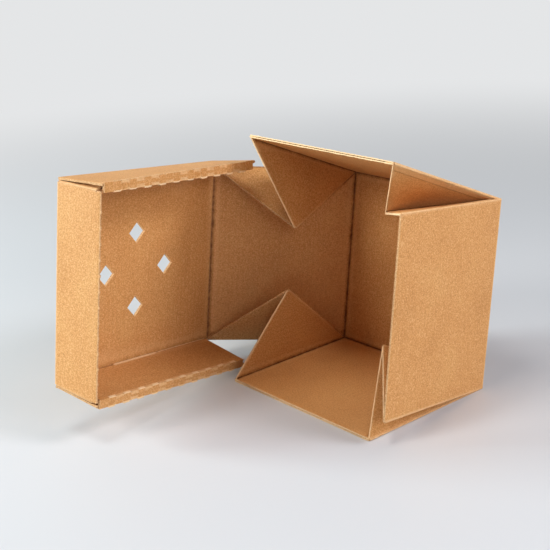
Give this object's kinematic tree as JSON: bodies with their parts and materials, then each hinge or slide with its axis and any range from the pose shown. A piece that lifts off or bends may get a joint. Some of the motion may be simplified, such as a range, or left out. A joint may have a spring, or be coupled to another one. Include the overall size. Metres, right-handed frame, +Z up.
{
  "type": "burger box",
  "caption": "Folded corrugated burger box standing on a side wall, open, with splayed walls, folded corner webs and a hinged lid with rolled side walls and steam vents.",
  "frame": {"origin": "middle of the outer face of the side wall that the box stands on", "axes": "+Z up from that wall into the box, +X from the hinge wall to the front wall, -Y out of the tray's mouth"},
  "size_m": [0.1704, 0.2183, 0.1474],
  "materials": {
    "kraft_board": "matt"
  },
  "bodies": {
    "tray": {"tray": "kraft_board"},
    "lid": {"lid": "kraft_board"}
  },
  "joints": [
    {"name": "lid_hinge", "type": "hinge", "parent": "tray", "child": "lid", "pos_m": [-0.10092, -0.02546, 0.06702], "axis": [0, 0.1478, 0.989], "range_deg": [-100, 15]}
  ]
}
